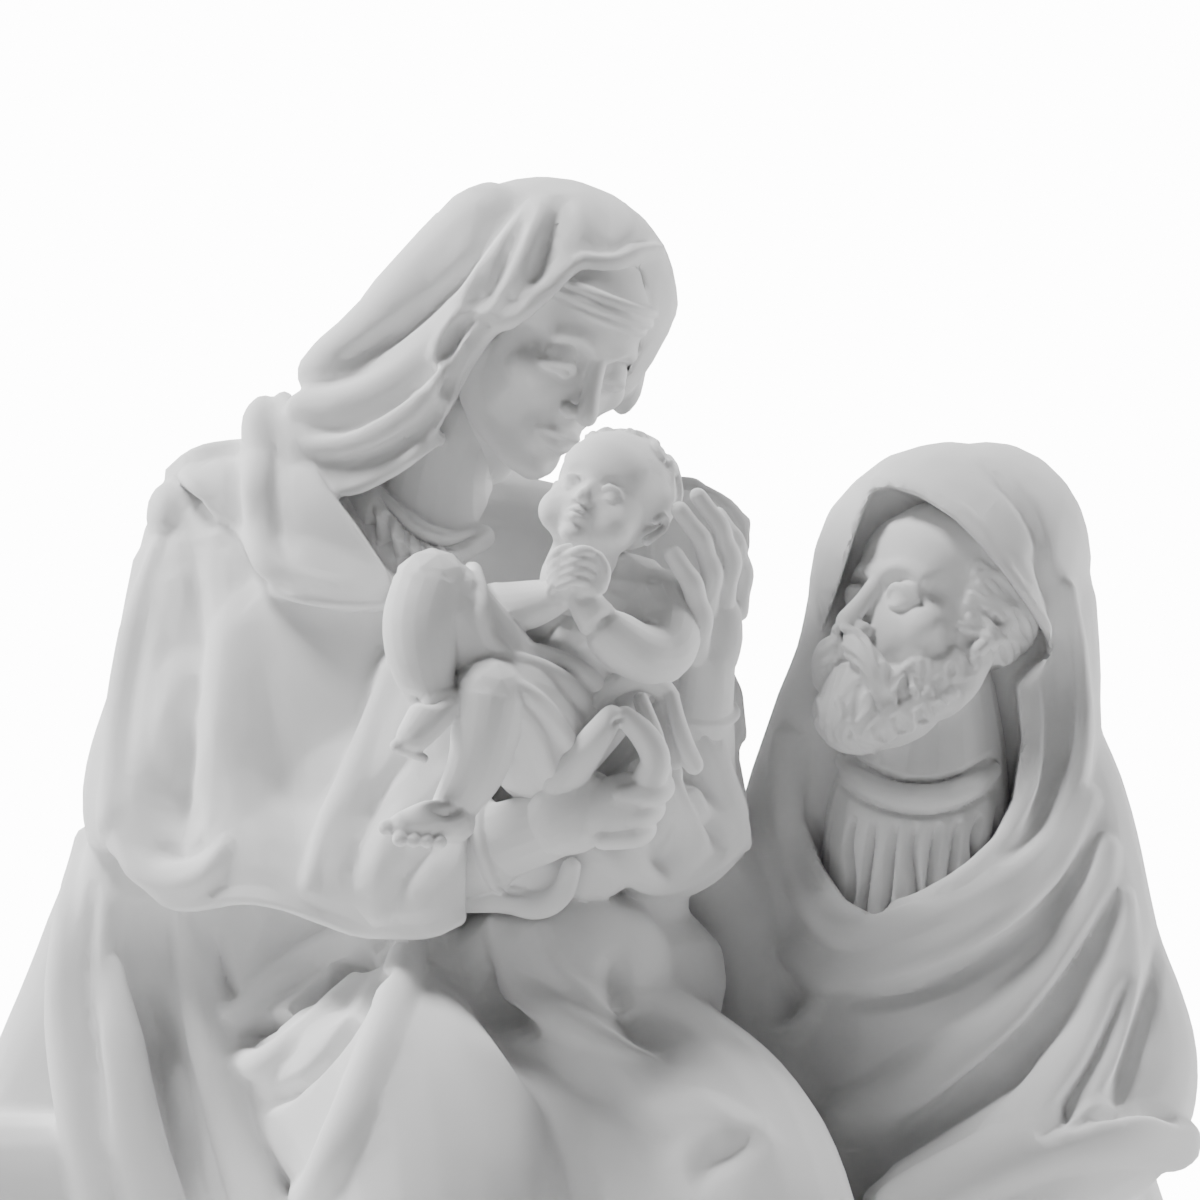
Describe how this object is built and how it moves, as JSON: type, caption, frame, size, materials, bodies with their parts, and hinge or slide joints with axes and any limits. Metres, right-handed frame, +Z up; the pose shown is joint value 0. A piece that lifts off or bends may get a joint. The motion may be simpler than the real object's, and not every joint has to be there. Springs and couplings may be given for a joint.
{
  "type": "holy family statue",
  "caption": "Cast group of a seated mother holding her baby, with the bearded father kneeling beside her, in one with a low rounded plinth.",
  "frame": {"origin": "centre of the plinth's underside", "axes": "+Z up, +X to the right as seen from the front, +Y away from the front, so the group faces -Y"},
  "size_m": [0.27, 0.19, 0.3166],
  "materials": {
    "marble_resin": "matt white cast marble resin"
  },
  "bodies": {
    "root": {"holy_family": "marble_resin"}
  },
  "joints": []
}
